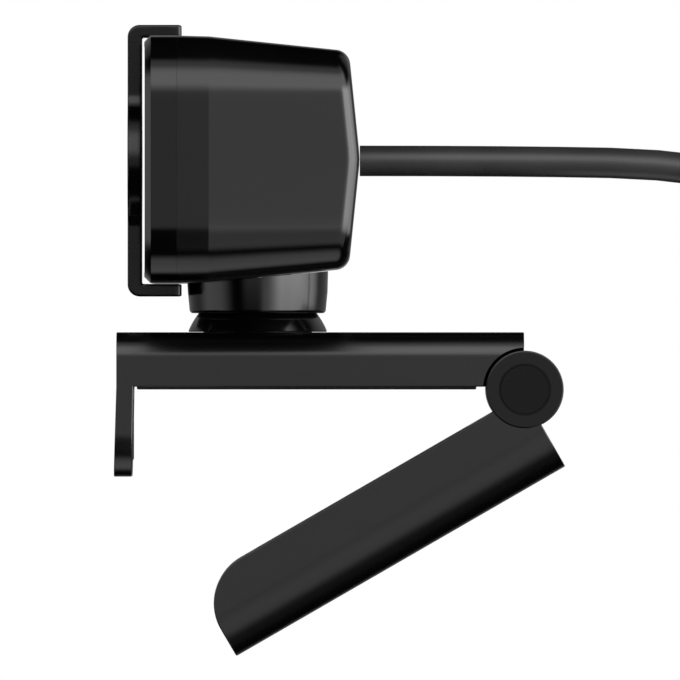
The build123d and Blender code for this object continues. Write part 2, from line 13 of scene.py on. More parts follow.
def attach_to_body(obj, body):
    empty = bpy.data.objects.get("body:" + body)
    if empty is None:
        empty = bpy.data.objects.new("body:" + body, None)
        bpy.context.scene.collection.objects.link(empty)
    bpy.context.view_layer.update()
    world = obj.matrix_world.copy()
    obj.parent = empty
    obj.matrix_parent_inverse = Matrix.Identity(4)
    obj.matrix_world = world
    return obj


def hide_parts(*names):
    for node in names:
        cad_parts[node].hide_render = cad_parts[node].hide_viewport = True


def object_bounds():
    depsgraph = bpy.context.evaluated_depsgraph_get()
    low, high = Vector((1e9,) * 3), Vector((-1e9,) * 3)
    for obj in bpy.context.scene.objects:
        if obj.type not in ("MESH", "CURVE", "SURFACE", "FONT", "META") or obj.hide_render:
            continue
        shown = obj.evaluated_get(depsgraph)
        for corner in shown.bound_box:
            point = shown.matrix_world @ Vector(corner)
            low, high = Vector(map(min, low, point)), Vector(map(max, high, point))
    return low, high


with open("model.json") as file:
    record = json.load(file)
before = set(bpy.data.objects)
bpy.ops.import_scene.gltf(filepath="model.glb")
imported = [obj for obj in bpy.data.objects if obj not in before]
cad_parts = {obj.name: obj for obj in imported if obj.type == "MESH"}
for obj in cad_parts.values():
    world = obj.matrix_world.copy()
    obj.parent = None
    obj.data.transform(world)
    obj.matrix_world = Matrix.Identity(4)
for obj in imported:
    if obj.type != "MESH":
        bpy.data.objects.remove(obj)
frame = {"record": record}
cad_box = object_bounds()

MM = 0.001
WELD = 1e-4  # points closer than this are one

# --- sizes shared with the design ---

HEAD_Z = 33.6
HEAD_WIDTH = 103.0
HEAD_HEIGHT = 36.0
HEAD_CORNER_R = 8.4
FRONT_Y = -16.6
FRONT_CROWN = 0.3
SEAM_Y = -11.65
TAPER_Y = -7.0
BACK_Y = 15.0
FRONT_SLOPE = math.tan(math.radians(1.5))
REAR_SLOPE = math.tan(math.radians(5.5))
BACK_LEAN = math.radians(5.8)
BACK_RIDGE_R = 14.0
BACK_EDGE_R = 2.0
RIM_CHAMFER = 0.9
WALL = 2.0
CLOSING_INSET = HEAD_HEIGHT / 2 - 0.5  # a ring as good as closed across the middle
PANEL_INSET = 1.5
PANEL_BACK_Y = -15.2
WEB_BACK_Y = -13.4
FRONT_BORE = (-18, -12)
LENS_BORE_R = 8.6
TRIM_SEAT_R = 8.0
MIC_X = 30.0
LED_X = 14.0

BALL_R = 11.0
BALL_Z = 4.45
BALL_WALL = 2.0
CUP_R = 11.15
DOME_SEAT_Z = 8.45
COLLAR_BOTTOM_Z = 11.2
COLLAR_BOTTOM_R = 9.97
COLLAR_SLOPE = math.tan(math.radians(5.0))
BOSS_TOP_Z = 20.0
COLLAR_HOLLOW_R = 5.0
STUD_HOLE_R = 1.58
DOME_BOSS_R = 8.0
DOME_GROOVE_R = 7.3
DOME_BORE_R = 6.8

COVER_FRONT_Y = -19.1
COVER_PLATE = 2.1
COVER_LEG = 1.85
COVER_GAP = 0.1
COVER_END_Y = -11.2
COVER_HALF_STRIP = 5.4
COVER_DISC_R = 9.85
COVER_BLEND_R = 3.2
COVER_CORNER_R = 1.75

CLIP_HALF_WIDTH = 14.5
CLIP_FRONT_Y = -20.7
CLIP_TOP_Z = 8.4
CLIP_BOTTOM_Z = 0.4
CLIP_EDGE_R = 3.6
CLIP_INSIDE_Z = 6.0
LIP_TOP_Z = 4.5
LIP_BOTTOM_Z = -12.8
LIP_CORNER_R = 6.4
PAD_THICK = 1.2
EDGE_ROUND = 0.16  # on the clip's and the arm's moulded edges
SCREW_HOLE_R = 0.95
NECK_HOLE_R = 8.1

HINGE_Y = 39.2
KNUCKLE_HALF = 8.2
HINGE_GAP_R = 6.15
HINGE_PIN_R = 1.5
EAR_INNER_X = 8.6
EAR_R = 5.7
EAR_PROUD = 0.07
CAP_R = 3.74
CAP_SEAT_X = 11.5
GAP_CONE_X = 9.6  # where the gap round the ear reaches its full width
FIT = 0.02  # between pieces that fit into each other
ARM_REST = 30.0
ARM_START = 0.47
ARM_END = 56.2
ARM_INNER = 0.54
ARM_OUTER = 12.75
ARM_TIP_R = 7.6
ARM_EDGE_R = 6.6
TRIPOD_S = 39.2
TRIPOD_BOSS_R = 7.0
TRIPOD_SEAT_R = 4.6

CABLE_R = 2.25
COIL = Vector((15.0, 118.0, -44.0))
COIL_PITCH = 4.7
COIL_COLUMN = 4.55
COIL_INNER_TURN_R = 18.9
TIE_HALF_WIDTH = 4.0
PLUG = Vector((-17.85, 129.0, -52.5))

PHOTO_CENTRE = Vector((0.0, 12.1, 7.26))
PHOTO_SPAN = 100.0


def add_object(name, data):
    obj = bpy.data.objects.new(name, data)
    bpy.context.scene.collection.objects.link(obj)
    return obj


# --- camera ---


def add_camera():
    """A long lens straight on to the object's +X side, so that nothing converges."""
    data = bpy.data.cameras.new("camera")
    data.sensor_width = 36.0
    data.lens = 1600.0
    distance = PHOTO_SPAN * data.lens / data.sensor_width
    camera = add_object("camera", data)
    camera.location = (PHOTO_CENTRE + Vector((distance, 0, 0))) * MM
    camera.rotation_euler = (math.radians(90), 0, math.radians(90))
    bpy.context.scene.camera = camera


# --- mesh tools ---


def attach(obj, body, slot, *nodes):
    """Says which body a piece rides on and hides the CAD nodes that it replaces; slot is not used."""
    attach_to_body(obj, body)
    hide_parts(*nodes)
    return obj


def finish_piece(name, bm, material, body, node, slot="black_plastic", sharp=32.0):
    """Turns a millimetre bmesh into a shaded piece that rides on its body and replaces a CAD node."""
    bmesh.ops.remove_doubles(bm, verts=bm.verts, dist=WELD)
    bmesh.ops.recalc_face_normals(bm, faces=bm.faces)
    bmesh.ops.scale(bm, vec=(MM, MM, MM), verts=bm.verts)
    mesh = bpy.data.meshes.new(name)
    bm.to_mesh(mesh)
    bm.free()
    mesh.materials.append(material)
    mesh.shade_smooth()
    mesh.set_sharp_from_angle(angle=math.radians(sharp))
    obj = add_object(name, mesh)
    shade_by_area(obj)
    return attach(obj, body, slot, node)


def shade_by_area(obj):
    """Lets the large faces decide the shading, so that they look flat."""
    weighted = obj.modifiers.new("shading", "WEIGHTED_NORMAL")
    weighted.keep_sharp = True
    weighted.weight = 80


def loft(rings, closed=False, zipped=True):
    """A skin over rings of equally many points, its ends closed across the middle."""
    bm = bmesh.new()
    made = [[bm.verts.new(p) for p in ring] for ring in rings]
    count = len(made[0])
    pairs = list(zip(made, made[1:]))
    if closed:
        pairs.append((made[-1], made[0]))
    for near, far in pairs:
        for i in range(count):
            j = (i + 1) % count
            bm.faces.new((near[i], near[j], far[j], far[i]))
    if closed:
        return bm
    for ring in (made[0], made[-1]):
        if zipped:
            zip_across(bm, ring)
        else:
            bm.faces.new(ring)
    return bm


def zip_across(bm, ring):
    """Closes a ring whose point i mirrors its point -i with a strip of faces."""
    count = len(ring)
    for i in range(count // 2):
        corners = []
        for k in (i, i + 1, count - i - 1, count - i):
            vert = ring[k % count]
            if vert not in corners:
                corners.append(vert)
        bm.faces.new(corners)


def lathe(profile, steps=96, capped=False):
    """Revolves (radius, height) points about Z. A closed profile gives a ring."""
    bm = bmesh.new()
    columns = []
    for k in range(steps):
        a = 2 * math.pi * k / steps
        columns.append([bm.verts.new((r * math.cos(a), r * math.sin(a), h)) for r, h in profile])
    last = len(profile) - 1
    for k in range(steps):
        near = columns[k]
        far = columns[(k + 1) % steps]
        for i in range(last if capped else last + 1):
            j = (i + 1) % (last + 1)
            bm.faces.new((near[i], far[i], far[j], near[j]))
    bmesh.ops.remove_doubles(bm, verts=bm.verts, dist=WELD)
    bmesh.ops.dissolve_degenerate(bm, dist=1e-5, edges=bm.edges)
    return bm


def prism(outline, low, high):
    """A closed (x, y) outline raised from low to high along Z."""
    bm = bmesh.new()
    floor = [bm.verts.new((x, y, low)) for x, y in outline]
    roof_ring = [bm.verts.new((x, y, high)) for x, y in outline]
    count = len(outline)
    for i in range(count):
        j = (i + 1) % count
        bm.faces.new((floor[i], floor[j], roof_ring[j], roof_ring[i]))
    bm.faces.new(list(reversed(floor)))
    bm.faces.new(roof_ring)
    return bm


def block(low, high):
    """A box between two corners."""
    outline = [(low[0], low[1]), (high[0], low[1]), (high[0], high[1]), (low[0], high[1])]
    return prism(outline, low[2], high[2])


def bar(outline, start, stop):
    """A closed (x, z) outline run along Y."""
    return loft([[(x, y, z) for x, z in outline] for y in (start, stop)], zipped=False)


def post(radius, low, high, x, y, steps=48):
    """A rod along Z."""
    return moved(rod_mesh(radius, low, high, steps), Matrix.Translation((x, y, 0)))


def across(radius, start, stop, y=0.0, z=0.0, steps=128):
    """A rod along X."""
    return moved(rod_mesh(radius, start, stop, steps), turned(90, "Y", (0, y, z)))


def moved(bm, matrix):
    bmesh.ops.transform(bm, matrix=matrix, verts=bm.verts)
    return bm


def merged(first, *others):
    """Puts several meshes into the first."""
    for other in others:
        spare = bpy.data.meshes.new("spare")
        other.to_mesh(spare)
        other.free()
        first.from_mesh(spare)
        bpy.data.meshes.remove(spare)
    return first


def carved(bm, cutter, operation="DIFFERENCE"):
    """The first mesh minus, or joined with, the second."""
    objects = []
    for name, source in (("body", bm), ("cutter", cutter)):
        bmesh.ops.recalc_face_normals(source, faces=source.faces)
        mesh = bpy.data.meshes.new(name)
        source.to_mesh(mesh)
        source.free()
        objects.append(add_object(name, mesh))
    body, tool = objects
    change = body.modifiers.new("change", "BOOLEAN")
    change.solver = "EXACT"
    change.operation = operation
    change.use_self = True
    change.object = tool
    seen = body.evaluated_get(bpy.context.evaluated_depsgraph_get())
    result = bmesh.new()
    result.from_mesh(seen.to_mesh())
    bmesh.ops.remove_doubles(result, verts=result.verts, dist=WELD)
    bmesh.ops.dissolve_degenerate(result, dist=WELD, edges=result.edges)
    loose = [edge for edge in result.edges if not edge.link_faces]
    bmesh.ops.delete(result, geom=loose, context="EDGES")
    for obj in objects:
        bpy.data.meshes.remove(obj.data)
    return result


def without_specks(bm, size=0.3):
    """Drops loose specks smaller than size, which rounding can leave at a corner."""
    left = set(bm.verts)
    specks = []
    while left:
        group = [left.pop()]
        for vert in group:
            for edge in vert.link_edges:
                other = edge.other_vert(vert)
                if other in left:
                    left.remove(other)
                    group.append(other)
        if max((vert.co - group[0].co).length for vert in group) < size:
            specks += group
    bmesh.ops.delete(bm, geom=specks, context="VERTS")
    return bm


def rounded_edges(bm, width, sharp=35.0):
    """Rounds every edge that turns by more than sharp degrees."""
    bmesh.ops.remove_doubles(bm, verts=bm.verts, dist=WELD)
    bmesh.ops.dissolve_degenerate(bm, dist=WELD, edges=bm.edges)
    limit = math.radians(sharp)
    edges = [e for e in bm.edges if len(e.link_faces) == 2 and e.calc_face_angle(0.0) > limit]
    bmesh.ops.bevel(
        bm, geom=edges, offset=width, offset_type="OFFSET", segments=3, profile=0.5, affect="EDGES"
    )
    return bm


def rod_mesh(radius, low, high, steps=64):
    return prism(arc((0, 0), radius, 0, 360, steps)[:-1], low, high)


def turned(degrees, axis, place):
    """A turn about an axis, then a move to a place."""
    return Matrix.Translation(place) @ Matrix.Rotation(math.radians(degrees), 4, axis)


def facing_side(side, x=0.0, y=0.0):
    """Turns a mesh made along Z so that its top looks along +X or -X."""
    return turned(90 * side, "Y", (x, y, 0))


def head_bore(radius, start, stop, x=0.0, steps=64):
    """A rod along Y at the head's middle height, to cut a hole with."""
    return moved(rod_mesh(radius, start, stop, steps), turned(-90, "X", (x, 0, HEAD_Z)))


def arc(centre, radius, start, stop, steps):
    """Points on an arc, angles in degrees."""
    points = []
    for k in range(steps + 1):
        a = math.radians(start + (stop - start) * k / steps)
        points.append((centre[0] + radius * math.cos(a), centre[1] + radius * math.sin(a)))
    return points


def rounded_outline(half_width, half_height, radius, long_steps=16, short_steps=6, turn=10):
    """A rounded rectangle about the origin. Point i mirrors point -i across its long axis."""
    radius = max(min(radius, half_height - 0.02, half_width - 0.02), 0.01)
    flat = half_height - radius
    quarter = [(half_width, flat * k / short_steps) for k in range(short_steps)]
    quarter += arc((half_width - radius, flat), radius, 0, 90, turn)
    level = half_width - radius
    quarter += [(level * (1 - k / long_steps), half_height) for k in range(1, long_steps + 1)]
    left = [(-x, z) for x, z in reversed(quarter[:-1])]
    lower = [(-x, -z) for x, z in quarter[1:]]
    right = [(x, -z) for x, z in reversed(quarter[1:-1])]
    return quarter + left + lower + right


def head_ring(inset, y_of):
    """A ring of the head's outline, made smaller by inset, at the depth y_of(x, z)."""
    outline = rounded_outline(
        HEAD_WIDTH / 2 - inset, HEAD_HEIGHT / 2 - inset, max(HEAD_CORNER_R - inset, 0.3)
    )
    return [(x, y_of(x, z), HEAD_Z + z) for x, z in outline]


# --- materials ---


class Tree:
    """The nodes of a material or a world, being put together."""

    def __init__(self, owner):
        owner.use_nodes = True
        self.nodes = owner.node_tree.nodes
        self.links = owner.node_tree.links

    def feed(self, node, inputs):
        """Sets inputs to constants, or links them to other nodes' outputs."""
        for name, value in inputs.items():
            if isinstance(value, bpy.types.NodeSocket):
                self.links.new(value, node.inputs[name])
            else:
                node.inputs[name].default_value = value

    def add(self, kind, output, inputs, **settings):
        """A new node's output."""
        node = self.nodes.new("ShaderNode" + kind)
        for name, value in settings.items():
            setattr(node, name, value)
        self.feed(node, inputs)
        return node.outputs[output]

    def math(self, operation, *values):
        return self.add("Math", "Value", dict(enumerate(values)), operation=operation)

    def ranged(self, value, low, high, to_low, to_high, **settings):
        """Maps low..high to to_low..to_high."""
        ends = {"From Min": low, "From Max": high, "To Min": to_low, "To Max": to_high}
        return self.add("MapRange", "Result", {"Value": value, **ends}, **settings)


class Finish(Tree):
    """A material, its texture fixed to the piece and its sizes in millimetres."""

    def __init__(self, name, constants):
        self.material = bpy.data.materials.new(name)
        super().__init__(self.material)
        self.shader = self.nodes["Principled BSDF"]
        self.feed(self.shader, constants)

    def where(self):
        return self.add("TexCoord", "Object", {})

    def noise(self, size, detail=2.0, stretch=(1, 1, 1)):
        """Noise whose features are about size millimetres."""
        place = self.add("Mapping", "Vector", {"Vector": self.where(), "Scale": stretch})
        inputs = {"Vector": place, "Scale": 1 / (size * MM), "Detail": detail}
        return self.add("TexNoise", "Fac", inputs)

    def vary_gloss(self, source, low, high):
        """Lets the roughness wander between two values."""
        self.feed(self.shader, {"Roughness": self.ranged(source, 0.3, 0.7, low, high)})

    def vary_colour(self, source, dark, light):
        """Lets the colour wander between two shades."""
        colour = self.add("ValToRGB", "Color", {"Fac": source})
        stops = colour.node.color_ramp.elements
        for stop, position, shade in zip(stops, (0.3, 0.7), (dark, light)):
            stop.position = position
            stop.color = (*shade, 1)
        self.feed(self.shader, {"Base Color": colour})

    def relief(self, source, depth, strength):
        """Bump of the given depth."""
        inputs = {"Height": source, "Strength": strength, "Distance": depth * MM}
        self.feed(self.shader, {"Normal": self.add("Bump", "Normal", inputs)})


def grained(name, dark, light, rough, grain, depth, strength=0.25, specular=0.5):
    """Moulded surface: fine grain, and a slow drift of colour and gloss."""
    finish = Finish(name, {"Specular IOR Level": specular})
    fine = finish.noise(grain)
    finish.vary_colour(finish.noise(9.0, 3.0), dark, light)
    finish.vary_gloss(fine, *rough)
    finish.relief(fine, depth, strength)
    return finish.material


def brushed(name, dark, light, rough, along):
    """Metal with fine lines; along stretches the noise into lines."""
    finish = Finish(name, {"Metallic": 1.0})
    lines = finish.noise(0.12, 4.0, along)
    finish.vary_colour(lines, dark, light)
    finish.vary_gloss(lines, *rough)
    finish.relief(lines, 0.01, 0.15)
    return finish.material


def coated_glass():
    """Clear lens glass with a thin coating that tints its reflections."""
    constants = {"Base Color": (0.86, 0.88, 0.95, 1), "IOR": 1.6, "Transmission Weight": 1.0}
    constants |= {"Thin Film Thickness": 420.0, "Thin Film IOR": 1.38}
    finish = Finish("coated_glass", constants)
    finish.vary_gloss(finish.noise(6.0, 1.0), 0.0, 0.03)
    return finish.material


def woven_strap():
    """Hook-and-loop strap: a ribbed weave with a soft nap."""
    finish = Finish("woven_strap", {"Roughness": 0.85, "Specular IOR Level": 0.2, "Sheen Weight": 0.25})
    inputs = {"Vector": finish.where(), "Scale": 420.0, "Distortion": 0.6}
    ribs = finish.add("TexWave", "Fac", inputs, bands_direction="X")
    nap = finish.noise(0.3, 5.0)
    finish.vary_colour(nap, (0.006,) * 3, (0.022,) * 3)
    finish.relief(finish.math("MULTIPLY", ribs, nap), 0.15, 0.6)
    return finish.material


def solder_mask():
    """Circuit board: green lacquer over a network of tracks."""
    finish = Finish("solder_mask", {"Roughness": 0.3})
    inputs = {"Vector": finish.where(), "Scale": 450.0}
    cells = finish.add("TexVoronoi", "Distance", inputs, distance="MANHATTAN", feature="F1")
    finish.vary_colour(cells, (0.006, 0.045, 0.02), (0.014, 0.085, 0.04))
    finish.relief(cells, 0.03, 0.3)
    return finish.material


def make_materials():
    """Every finish by name: the record's slots, and variants of the black plastic."""
    black = ((0.0009, 0.0009, 0.0010), (0.0014, 0.0014, 0.0015))
    return {
        "black_plastic": grained("moulded_black", *black, (0.13, 0.18), 0.14, 0.006, 0.2),
        "neck_plastic": grained("neck_black", *black, (0.13, 0.18), 0.14, 0.006, 0.2, 0.44),
        "clip_plastic": grained("clip_black", *black, (0.22, 0.27), 0.14, 0.006, 0.2, 0.6),
        "ear_plastic": grained("ear_black", *black, (0.14, 0.19), 0.14, 0.006, 0.2, 0.42),
        "cap_plastic": grained("cap_black", *black, (0.16, 0.22), 0.16, 0.006, 0.2, 0.26),
        "bezel_plastic": grained("bezel_black", *black, (0.08, 0.11), 0.14, 0.005, 0.15, 0.5),
        "cover_plastic": grained("cover_black", *black, (0.15, 0.2), 0.14, 0.006, 0.2, 0.36),
        "face_panel": grained(
            "polished_face", (0.001, 0.001, 0.0012), (0.0016, 0.0016, 0.0018), (0.02, 0.04), 6.0,
            0.004, 0.05,
        ),
        "lens_black": grained(
            "lens_black", (0.0012,) * 3, (0.002,) * 3, (0.34, 0.44), 0.2, 0.01, 0.2, 0.4
        ),
        "rubber": grained("soft_rubber", (0.006,) * 3, (0.011,) * 3, (0.6, 0.78), 0.1, 0.02, 0.35, 0.35),
        "cable_jacket": grained(
            "cable_vinyl", (0.022,) * 3, (0.028,) * 3, (0.3, 0.36), 0.22, 0.01, 0.2, 0.42
        ),
        "lens_glass": coated_glass(),
        "steel": brushed(
            "plated_steel", (0.26, 0.265, 0.27), (0.38, 0.385, 0.39), (0.3, 0.42), (1, 1, 0.06)
        ),
        "brass": brushed(
            "turned_brass", (0.52, 0.36, 0.13), (0.74, 0.55, 0.25), (0.2, 0.32), (1, 1, 0.2)
        ),
        "gold": brushed("gold_contact", (0.7, 0.5, 0.18), (0.85, 0.62, 0.28), (0.18, 0.26), (1, 1, 0.1)),
        "circuit_board": solder_mask(),
        "chip": grained("chip_epoxy", (0.012,) * 3, (0.022,) * 3, (0.45, 0.6), 0.12, 0.01),
        "white_plastic": grained(
            "white_nylon", (0.62, 0.62, 0.6), (0.72, 0.72, 0.7), (0.35, 0.45), 0.3, 0.01
        ),
        "light_guide": grained(
            "light_guide", (0.55, 0.58, 0.6), (0.66, 0.69, 0.71), (0.1, 0.16), 0.5, 0.004
        ),
        "strap": woven_strap(),
    }


# --- light ---


# Soft boxes as strength, azimuth and elevation. Each direction is in degrees, as (centre, half
# width at full strength, half width where it is gone).
ALL_ROUND = (0.0, 180.0, 180.0)
KEY_BOXES = [
    (3.0, (0, 55, 85), (31, 5, 29)),
    (0.9, (0, 60, 80), (56, 6, 20)),
    (0.62, (0, 16, 30), (6, 11, 20)),
    (0.5, (26, 14, 22), (2, 12, 22)),
    (0.95, (38, 24, 37), (-28, 16, 30)),
]
EDGE_BOXES = [
    (4.5, (68, 26, 54), (0, 10, 27)),
    (3.0, (55, 15, 40), (5, 6, 16)),
    (1.5, (-78, 10, 40), (0, 14, 27)),
]
FILL_BOXES = [
    (1.1, ALL_ROUND, (-90, 12, 30)),
    (0.3, (138, 10, 28), (36, 8, 28)),
    (0.3, (-138, 10, 28), (36, 8, 28)),
    (0.3, (180, 62, 85), (0, 16, 32)),
]


class Sky(Tree):
    """The studio around the object: white to the camera, soft boxes by direction to the rest."""

    def __init__(self):
        world = bpy.data.worlds.new("studio")
        bpy.context.scene.world = world
        super().__init__(world)
        self.nodes.clear()
        where = self.add("TexCoord", "Generated", {})
        x, y, z = self.add("SeparateXYZ", "X", {"Vector": where}).node.outputs
        self.elevation = self.math("MULTIPLY", self.math("ARCSINE", z), math.degrees(1))
        self.azimuth = self.math("MULTIPLY", self.math("ARCTAN2", y, x), math.degrees(1))

    def fade(self, angle, centre, full, gone):
        """One within full degrees of the centre, fading smoothly to zero at gone."""
        off = self.math("WRAP", self.math("SUBTRACT", angle, centre), 180.0, -180.0)
        off = self.math("ABSOLUTE", off)
        return self.ranged(off, gone, full, 0.0, 1.0, interpolation_type="SMOOTHSTEP")

    def box(self, level, azimuth, elevation):
        """A soft box's strength in each direction."""
        shape = self.fade(self.elevation, *elevation)
        if azimuth != ALL_ROUND:
            shape = self.math("MULTIPLY", self.fade(self.azimuth, *azimuth), shape)
        return self.math("MULTIPLY", shape, level)

    def light(self, boxes):
        total = self.box(*boxes[0])
        for box in boxes[1:]:
            total = self.math("ADD", total, self.box(*box))
        lamps = self.add("Background", "Background", {"Strength": total})
        plain = self.add("Background", "Background", {"Color": (1, 1, 1, 1), "Strength": 1.0})
        seen = self.add("LightPath", "Is Camera Ray", {})
        mix = self.add("MixShader", "Shader", {"Fac": seen, 1: lamps, 2: plain})
        self.feed(self.nodes.new("ShaderNodeOutputWorld"), {"Surface": mix})


def add_floor():
    """A pale floor just under the coil."""
    low = min(cad_box[0].z / MM, PLUG.z) - 0.2
    middle_y = 50.0
    reach = 900.0
    bm = bmesh.new()
    corners = [(-reach, -reach), (reach, -reach), (reach, reach), (-reach, reach)]
    bm.faces.new([bm.verts.new((x * MM, (y + middle_y) * MM, low * MM)) for x, y in corners])
    mesh = bpy.data.meshes.new("floor")
    bm.to_mesh(mesh)
    bm.free()
    finish = Finish("studio_floor", {"Roughness": 1.0, "Specular IOR Level": 0.0})
    finish.vary_colour(finish.noise(300.0, 1.0), (0.93,) * 3, (0.95,) * 3)
    mesh.materials.append(finish.material)
    floor = add_object("floor", mesh)
    floor.visible_glossy = False


# --- head ---


def side_inset(y):
    """How far the head's sides have drawn in at depth y."""
    if y <= TAPER_Y:
        return max(y - SEAM_Y, 0.0) * FRONT_SLOPE
    return (TAPER_Y - SEAM_Y) * FRONT_SLOPE + (y - TAPER_Y) * REAR_SLOPE


def roof_y(z):
    """Depth of the back face, a shallow roof with a rounded ridge, at z from the ridge."""
    rounded = BACK_RIDGE_R * math.sin(BACK_LEAN)
    if abs(z) > rounded:
        return BACK_Y - abs(z) * math.tan(BACK_LEAN)
    return BACK_Y - BACK_RIDGE_R / math.cos(BACK_LEAN) + math.sqrt(BACK_RIDGE_R**2 - z * z)


def back_rings(wall):
    """Rings from the ridge out to the taper's start, moved inward by wall."""
    edge_r = BACK_EDGE_R - 0.8 * wall
    edge_inset = side_inset(BACK_Y - BACK_EDGE_R) + wall
    reach = HEAD_HEIGHT / 2
    rings = []
    for left in (0.25, 0.7, 1.4, 3.0, 6.0, 10.0):
        rings.append(head_ring(reach - left, lambda x, z: roof_y(z) - wall))
    for k in range(9):
        a = math.radians(90 - 90 * k / 8)
        inset = edge_inset + edge_r * (1 - math.cos(a))
        back = wall + edge_r * (1 - math.sin(a))
        rings.append(head_ring(inset, lambda x, z: roof_y(z) - back))
    start = roof_y(0) - wall - edge_r
    for share in (0.25, 0.5, 0.75):
        level = start + (TAPER_Y - start) * share
        bend = 1 - share
        inset = wall + side_inset(level)
        rings.append(head_ring(inset, lambda x, z: level + bend * (roof_y(z) - roof_y(0))))
    return rings


def side_ring(y, inset):
    """A flat ring of the head's outline."""
    return head_ring(inset, lambda x, z: y)


def front_ring(y, inset):
    """A ring near the face, which is very slightly crowned from side to side."""
    return head_ring(inset, lambda x, z: y + FRONT_CROWN * (2 * x / HEAD_WIDTH) ** 2)


def rear_housing(m):
    """The rear shell: outer skin, seam edge and inner skin, with the cable's hole."""
    rings = back_rings(0.0)
    for y in (TAPER_Y + 0.15, TAPER_Y, TAPER_Y - 0.15, SEAM_Y + 0.02):
        rings.append(side_ring(y, side_inset(y)))
    rings.append(side_ring(SEAM_Y + 0.005, 0.015))
    rings.append(side_ring(SEAM_Y + 0.005, WALL))
    rings.append(side_ring(TAPER_Y, WALL + side_inset(TAPER_Y)))
    rings += list(reversed(back_rings(WALL)))
    bm = carved(loft(rings), head_bore(CABLE_R + 0.1, 8, 20, steps=48))
    finish_piece("rear_housing_shell", bm, m["black_plastic"], "head", "rear_housing")


def front_bezel(m):
    """The front's frame: chamfered rim, recess for the panel and a web with the lens bore."""
    steps = [
        (PANEL_BACK_Y, CLOSING_INSET),
        (PANEL_BACK_Y, PANEL_INSET),
        (FRONT_Y + 0.1, PANEL_INSET),
        (FRONT_Y + 0.02, PANEL_INSET - 0.03),
        (FRONT_Y, PANEL_INSET - 0.1),
        (FRONT_Y, RIM_CHAMFER + 0.06),
        (FRONT_Y + 0.03, RIM_CHAMFER - 0.04),
        (FRONT_Y + RIM_CHAMFER - 0.04, 0.03),
        (FRONT_Y + RIM_CHAMFER + 0.06, 0.0),
        (SEAM_Y - 0.015, 0.0),
        (SEAM_Y, 0.015),
        (SEAM_Y, WALL),
        (WEB_BACK_Y, WALL),
        (WEB_BACK_Y, CLOSING_INSET),
    ]
    bm = loft([(front_ring if y <= PANEL_BACK_Y else side_ring)(y, inset) for y, inset in steps])
    bores = [head_bore(LENS_BORE_R, *FRONT_BORE)]
    bores += [head_bore(1.0, *FRONT_BORE, x, 32) for x in (-MIC_X, MIC_X, LED_X)]
    bm = carved(bm, merged(*bores))
    finish_piece("front_bezel_ring", bm, m["bezel_plastic"], "head", "front_bezel")


def front_panel(m):
    """The polished panel, with holes for the lens, the light and the two microphones."""
    edge = PANEL_INSET + 0.05
    steps = [
        (FRONT_Y + 0.1, CLOSING_INSET),
        (FRONT_Y + 0.1, edge + 0.16),
        (FRONT_Y + 0.15, edge + 0.05),
        (FRONT_Y + 0.26, edge),
        (PANEL_BACK_Y, edge),
        (PANEL_BACK_Y, CLOSING_INSET),
    ]
    bm = loft([front_ring(y, inset) for y, inset in steps])
    holes = [head_bore(TRIM_SEAT_R, *FRONT_BORE, steps=96), head_bore(1.0, *FRONT_BORE, LED_X, 32)]
    holes += [head_bore(0.6, *FRONT_BORE, x, 24) for x in (-MIC_X, MIC_X)]
    bm = carved(bm, merged(*holes))
    finish_piece("front_glass_panel", bm, m["face_panel"], "head", "front_panel", "face_panel")


def optics(m):
    """Trim ring with stepped light baffles, and the domed front element."""
    profile = [(8.5, -14.2), (8.5, -15.15), (7.9, -15.15), (7.9, -16.28), (7.86, -16.37), (7.78, -16.4)]
    profile += [(7.2, -16.4), (7.08, -16.36), (7.0, -16.28)]
    baffles = 6
    mouth_r = 7.0
    narrowing = 1.8
    for k in range(baffles):
        top = mouth_r - narrowing * k / baffles
        low = mouth_r - narrowing * (k + 1) / baffles
        depth = -16.28 + 1.95 * (k + 1) / baffles
        profile += [(top - 0.06, depth - 0.03), (low + 0.03, depth)]
    profile += [(5.2, -14.3), (5.2, -14.2)]
    forward = turned(90, "X", (0, 0, HEAD_Z))
    bm = moved(lathe([(r, -y) for r, y in profile]), forward)
    finish_piece("lens_trim_baffle", bm, m["lens_black"], "head", "lens_trim_ring", sharp=25)
    dome_r = 8.0
    front = [(0.0, 13.9)]
    for k in range(1, 15):
        r = 4.4 * k / 14
        front.append((r, 13.9 - dome_r + math.sqrt(dome_r**2 - r * r)))
    front += [(4.5, 12.4), (4.52, 12.2), (4.52, 11.6), (4.45, 11.5)]
    dish_r = 3.9
    for k in range(8, -1, -1):
        r = dish_r * k / 8
        front.append((r, 11.5 + 0.35 * (1 - (r / dish_r) ** 2)))
    bm = moved(lathe(front, 64, capped=True), forward)
    finish_piece("front_lens_element", bm, m["lens_glass"], "head", "front_lens", "lens_glass")


# --- privacy cover ---


def cover_half_width(z):
    """Half the cover's width: a strip that swells into a disc, with blended waists."""
    z = abs(z)
    blend_x = COVER_HALF_STRIP + COVER_BLEND_R
    reach = COVER_DISC_R + COVER_BLEND_R
    blend_z = math.sqrt(reach**2 - blend_x**2)
    touch_z = blend_z * COVER_DISC_R / reach
    if z <= touch_z:
        return math.sqrt(COVER_DISC_R**2 - z * z)
    if z < blend_z:
        return blend_x - math.sqrt(COVER_BLEND_R**2 - (blend_z - z) ** 2)
    return COVER_HALF_STRIP


